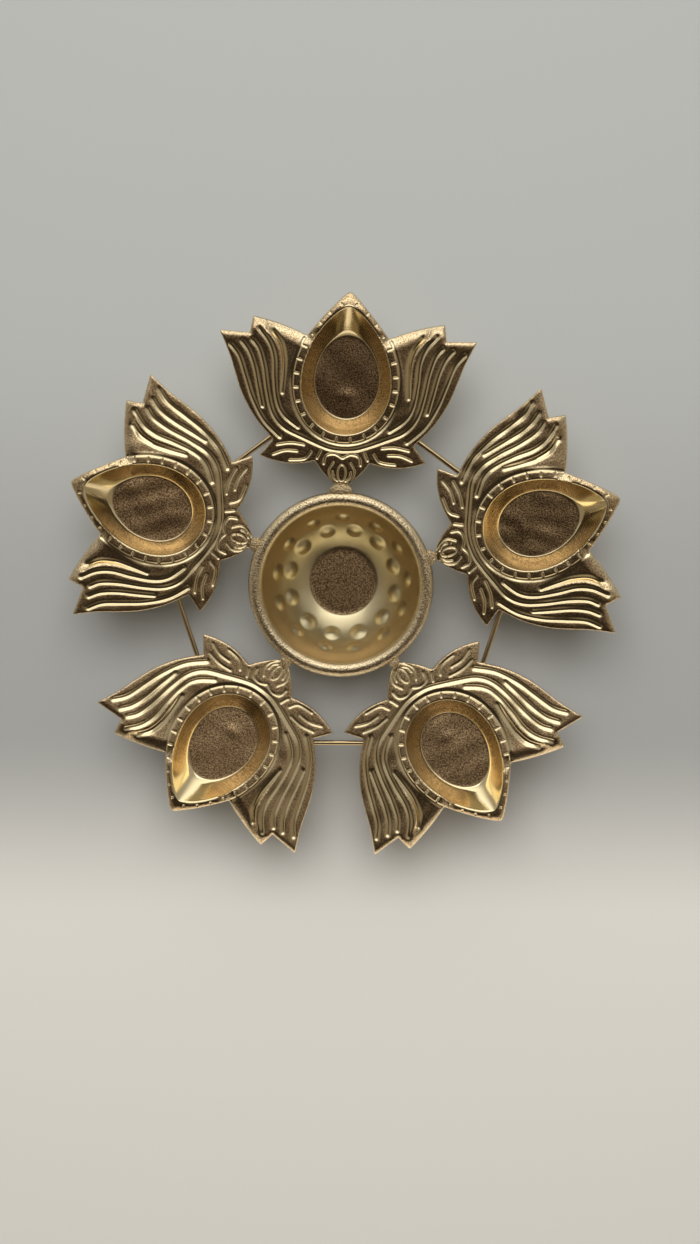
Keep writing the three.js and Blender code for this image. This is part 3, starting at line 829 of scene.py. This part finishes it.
def spunBowl():
    # one point in the middle of the floor is drawn out along the profile, which is then spun
    s = bowl
    deselectAll()
    bpy.ops.mesh.primitive_plane_add(size=0.001, location=(0, 0, s["sheet"] * mm))
    bpy.ops.object.transform_apply(location=True)
    bpy.ops.object.mode_set(mode="EDIT")
    bpy.ops.mesh.select_all(action="SELECT")
    bpy.ops.mesh.merge(type="CENTER")
    at = np.array([0, s["sheet"]])
    for p in bowlProfile():
        step = (p - at) * mm
        bpy.ops.mesh.extrude_region_move(TRANSFORM_OT_translate={"value": (step[0], 0, step[1])})
        at = p
    bpy.ops.mesh.select_all(action="SELECT")
    bpy.ops.mesh.spin(steps=s["sides"], angle=2 * math.pi, center=(0, 0, 0), axis=(0, 0, 1))
    bpy.ops.mesh.select_all(action="SELECT")
    bpy.ops.mesh.remove_doubles(threshold=0.00001)
    bpy.ops.mesh.normals_make_consistent(inside=False)
    bpy.ops.object.mode_set(mode="OBJECT")
    return bpy.context.object


def hammered(co):
    # both faces of the wall are pushed inwards, and where two dents meet the deeper one counts
    s = bowl
    push = np.zeros(len(co))
    way = np.zeros((len(co), 3))
    rng = random.Random(s["seed"])
    for count, share, width, start in s["rows"]:
        on, off = wallPoint(share), wallPoint(share, -1)
        for k in range(count):
            turn = math.radians(90 + start + 360 / count * k + rng.uniform(-s["astray"], s["astray"]))
            around = np.array([[math.cos(turn), 0], [math.sin(turn), 0], [0, 1]])
            centre, inward = around @ on, around @ (off - on)
            apart = co - centre
            deep = np.abs(apart @ inward) < s["dentReach"]
            apart -= np.outer(apart @ inward, inward)
            d = np.linalg.norm(apart, axis=1) / (width / 2 * rng.uniform(0.94, 1.08))
            dent = s["dentHeight"] * rng.uniform(0.85, 1.1) * fading(d * d, 1, s["dentPower"]) * deep
            way[dent > push] = inward
            push = np.maximum(push, dent)
    return co + way * push[:, None]


def makeBowl():
    s = bowl
    obj = spunBowl()
    mesh = obj.data
    normals = np.array([v.normal[:] for v in mesh.vertices])
    co = hammered(pointsOf(mesh))
    r = np.hypot(co[:, 0], co[:, 1])
    outwards = r - s["mouthRadius"]
    toRoll = np.hypot(outwards - s["rimRoll"], co[:, 2] - s["rimHeight"])
    onRim = (np.abs(toRoll - s["rimRoll"]) < 0.1) & ~((outwards < 0.3) & (co[:, 2] < s["rimHeight"]))
    rough = np.array([noise.noise(Vector(p) / s["rimGrainSize"]) for p in co])
    co += normals * (rough * s["rimGrain"] * onRim)[:, None]
    movePoints(mesh, co)
    grain = np.clip((s["sandyRadius"] - r) / 0.5, 0, 1)
    grain = np.where(onRim, np.clip((outwards - 0.2) / 1.4, 0, 1) * 0.8, grain)
    grain = np.where(co[:, 2] < 0.2, 0.5, grain)
    paintPoints(mesh, "grain", grain)
    # pale rubbed colour round the rim, partly painted highlight
    paintPoints(mesh, "wearAndSheen", onRim * s["rimWearAndSheen"])
    paintPoints(mesh, "pits", onRim * np.clip((outwards - 1.2) / 1.4, 0, 1))
    finishPiece(obj, "hammeredBowl", bowlGold, "bowl_metal", "bowl", smoothAngle=60)


makeBowl()
print("bowl done")


# Tie rods: drawn wire, cut at both ends

rod = {
    "count": 5,
    "radius": 1.3,
    "length": 62,
    "sides": 28,
    "cuts": 30,
    "chamfer": 0.25,
    "wander": 0.12,
    "wanderLength": 22,
}


def boxMiddle(node):
    low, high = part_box(node)
    return (Vector(low) + Vector(high)) / 2


def straightRod():
    s = rod
    deselectAll()
    bpy.ops.mesh.primitive_cylinder_add(vertices=s["sides"], radius=s["radius"] * mm, depth=s["length"] * mm)
    bpy.ops.object.mode_set(mode="EDIT")
    bpy.ops.mesh.select_all(action="DESELECT")
    bpy.ops.mesh.select_face_by_sides(number=4, type="GREATER")
    bpy.ops.mesh.bevel(offset=s["chamfer"] * mm, segments=2, affect="EDGES")
    for k in range(1, s["cuts"]):
        level = (k / s["cuts"] - 0.5) * s["length"] * mm
        bpy.ops.mesh.select_all(action="SELECT")
        bpy.ops.mesh.bisect(plane_co=(0, 0, level), plane_no=(0, 0, 1))
    bpy.ops.object.mode_set(mode="OBJECT")
    return bpy.context.object


def bend(mesh, seed):
    co = pointsOf(mesh)
    places = [Vector((z / rod["wanderLength"], seed * 3.7, axis)) for axis in (0, 9) for z in co[:, 2]]
    off = np.array([noise.noise(place) for place in places])
    co[:, :2] += rod["wander"] * off.reshape(2, -1).T
    movePoints(mesh, co)


def between(i):
    # turn from the first plate to half way between two neighbours
    return Matrix.Rotation(-2 * math.pi * (i + 0.5) / lotus["count"], 4, "Z")


straight = straightRod()
for i in range(rod["count"]):
    obj = copyOf(straight.data)
    bend(obj.data, i)
    lie = Matrix.Rotation(math.pi / 2, 4, "Y")
    obj.matrix_world = Matrix.Translation(boxMiddle(f"tie_rod_{i + 1}")) @ between(i) @ lie
    bakePlace(obj)
    finishPiece(obj, f"tieRod{i + 1}", wireGold, "rod_metal", f"tie_rod_{i + 1}", smoothAngle=35)
bpy.data.objects.remove(straight)
print("rods done")


# Welds: crusts of small grains, with drops thrown round those at the rim

weld = {
    "rimSize": [(12.4, 6.4, 4.6), (8.2, 6, 4.2), (6.6, 5, 3.6), (6.6, 5, 3.6), (7.8, 5.8, 4)],
    "rodSize": (6.2, 3.6, 2.6),
    "grain": 1.1,
    "rough": 0.85,
    "drops": 13,
    "dropSize": (0.3, 0.75),
    "spread": (6.5, 9),  # sideways and outwards
    "seed": 11,
}


def crust(size, seed):
    deselectAll()
    bpy.ops.mesh.primitive_ico_sphere_add(subdivisions=5, radius=0.5 * mm)
    obj = bpy.context.object
    bpy.ops.transform.resize(value=size)
    bpy.ops.object.transform_apply(scale=True)
    co = pointsOf(obj.data)
    normals = np.array([v.normal[:] for v in obj.data.vertices])
    lumps = [0.42 - noise.voronoi(Vector(p) / weld["grain"] + Vector((seed * 7.3, 0, 0)))[0][0] for p in co]
    movePoints(obj.data, co + normals * (np.array(lumps) * weld["rough"])[:, None])
    return obj


def drops(i, rng):
    made = []
    place = lotusPlace(i)
    for k in range(weld["drops"]):
        across = rng.gauss(0, weld["spread"][0] / 2.2)
        out = abs(rng.gauss(0, weld["spread"][1] / 2)) + 1
        if abs(across) > out * 0.95 + 0.4:  # would miss the bud
            continue
        at = place @ Vector((across * mm, out * mm, 0.05 * mm))
        size = rng.uniform(*weld["dropSize"]) * mm
        deselectAll()
        bpy.ops.mesh.primitive_ico_sphere_add(subdivisions=2, radius=size, location=at)
        bpy.ops.transform.resize(value=(1, 1, 0.7))
        made.append(bpy.context.object)
    return made


def joined(first, others):
    pick(first)
    for obj in others:
        obj.select_set(True)
    bpy.ops.object.join()
    return first


def makeWelds():
    s = weld
    rng = random.Random(s["seed"])
    for i in range(lotus["count"]):
        bud = lotusPlace(i).translation
        turn = Matrix.Rotation(math.atan2(bud.y, bud.x) - math.pi / 2, 4, "Z")
        obj = crust(s["rimSize"][i], i)
        obj.matrix_world = Matrix.Translation(boxMiddle(f"rim_weld_{i + 1}")) @ turn
        bakePlace(obj)
        joined(obj, drops(i, rng))
        bakePlace(obj)
        finishPiece(obj, f"rimWeld{i + 1}", weldGold, "weld_metal", f"rim_weld_{i + 1}", smoothAngle=80)
        for k, side in enumerate("ab"):
            obj = crust(s["rodSize"], 10 + 2 * i + k)
            node = f"rod_weld_{i + 1}_{side}"
            obj.matrix_world = Matrix.Translation(boxMiddle(node)) @ between(i)
            bakePlace(obj)
            finishPiece(obj, f"rodWeld{i + 1}{side}", weldGold, "weld_metal", node, smoothAngle=80)


makeWelds()
print("welds done")


# Stage, light and camera

stage = {
    "color": (0.45, 0.463, 0.453, 1),
    "shade": (0.385, 0.39, 0.38, 1),  # painted shade, in the middle
    "shadeFrom": -0.02,
    "shadeTo": 0.14,
    "near": (0.8, 0.785, 0.745, 1),  # painted light, paler towards the bottom of the view
    "nearFrom": 0.08,
    "nearTo": 0.2,
    "roughness": 0.85,
    "size": 4.0,
}


def makeStage():
    s = stage
    deselectAll()
    bpy.ops.mesh.primitive_plane_add(size=s["size"], location=(0, 0, 0))
    floor = bpy.context.object
    floor.name = "floor"
    material = bpy.data.materials.new("paleFloor")
    material.use_nodes = True
    shader = material.node_tree.nodes["Principled BSDF"]
    bench = Tap(material.node_tree)
    place = bench.node("ShaderNodeTexCoord", out="Object")
    y = bench.node("ShaderNodeSeparateXYZ", {}, {"Vector": place}, out="Y")
    # painted shade across the middle, painted light towards the bottom
    color = y.ramp(s["shadeFrom"], s["shadeTo"]).mix(s["shade"], s["color"])
    color = (0 - y).ramp(s["nearFrom"], s["nearTo"]).mix(color, s["near"])
    color.into(shader, "Base Color")
    shader.inputs["Roughness"].default_value = s["roughness"]
    floor.data.materials.append(material)


makeStage()

view = {
    "imageWidth": 700,  # pixels of the photograph
    "focalPixels": 1300,
    "shift": (-9.395, 36.937),  # middle of the object from the middle of the image, in pixels
    "perPixel": 0.527,  # millimetres
    "turns": (5.459, -2.321, -0.181),  # degrees about x, y and z
    "reach": 0.9981,  # distance over focal length, both in pixels
    "level": 31,  # height at which perPixel holds
}


def makeCamera():
    s = view
    a, b, c = (math.radians(v) for v in s["turns"])
    turn = Matrix.Rotation(c, 4, "Z") @ Matrix.Rotation(b, 4, "Y") @ Matrix.Rotation(a, 4, "X")
    unit = s["perPixel"] * mm
    move = Vector((s["shift"][0] * unit, s["shift"][1] * unit, -s["focalPixels"] * s["reach"] * unit))
    toCamera = Matrix.Translation(move) @ turn @ Matrix.Translation((0, 0, -s["level"] * mm))
    data = bpy.data.cameras.new("camera")
    data.sensor_fit = "HORIZONTAL"
    data.sensor_width = 36
    data.lens = 36 * s["focalPixels"] / s["imageWidth"]
    data.clip_start = 0.01
    camera = bpy.data.objects.new("camera", data)
    bpy.context.scene.collection.objects.link(camera)
    camera.matrix_world = toCamera.inverted()
    bpy.context.scene.camera = camera


makeCamera()

light = {
    "overhead": (0.032, 0.025, 0.018, 1),
    # the room that the metal mirrors: each colour, and where on its way it sets in and is full
    "lean": ((0.22, 0.18, 0.14, 1), -0.12, 0),
    "sides": ((0.27, 0.23, 0.17, 1), 0.45, 0.85),
    "below": ((0.42, 0.36, 0.27, 1), 0.68, 0.92),
    "above": ((0.4, 0.38, 0.34, 1), 0.06, 0.24),
    "far": ((1.4, 1.36, 1.24, 1), 0.6, 0.98),
}
lamps = {
    "window": {"place": (0, 0.95, 1.3), "size": (1.7, 0.72), "glow": 1.35, "color": (1, 0.98, 0.93)},
    "card": {
        "place": (0.39, -0.19, 0.05),
        "aim": (0, 1, 0),
        "size": (1.05, 0.12),
        "glow": 0.6,
        "color": (1, 0.9, 0.76),
        "unseenBy": "diffuse",
    },
    "skylight": {
        "place": (0, 0.6, 1.35),
        "size": (1.3, 1.1),
        "glow": 3.3,
        "color": (1, 1, 1),
        "unseenBy": "glossy",
    },
}


def makeWorld():
    world = bpy.data.worlds.new("studio")
    bpy.context.scene.world = world
    world.use_nodes = True
    bench = Tap(world.node_tree)
    way = bench.node("ShaderNodeTexCoord", out="Generated")
    x, y = (bench.node("ShaderNodeSeparateXYZ", {}, {"Vector": way}, out=axis) for axis in "XY")
    ways = {"lean": y + x * 0.5, "sides": abs(x), "below": 0 - y, "above": y, "far": y}
    glow = light["overhead"]
    for name, along in ways.items():
        color, low, high = light[name]
        glow = along.ramp(low, high).mix(glow, color)
    glow.into(world.node_tree.nodes["Background"], "Color")


def makeLamp(name, s):
    data = bpy.data.lights.new(name, "AREA")
    data.shape = "RECTANGLE"
    data.size, data.size_y = s["size"]
    data.energy = s["glow"] * math.pi * data.size * data.size_y
    data.color = s["color"]
    lamp = bpy.data.objects.new(name, data)
    bpy.context.scene.collection.objects.link(lamp)
    lamp.location = s["place"]
    aim = Vector(s["aim"]) if "aim" in s else -Vector(s["place"])
    lamp.rotation_euler = aim.to_track_quat("-Z", "Y").to_euler()
    lamp.visible_camera = False
    lamp.visible_diffuse = s.get("unseenBy") != "diffuse"
    lamp.visible_glossy = s.get("unseenBy") != "glossy"


makeWorld()
for name, values in lamps.items():
    makeLamp(name, values)
bpy.context.scene.view_settings.view_transform = "Standard"
print("stage, camera and light done")
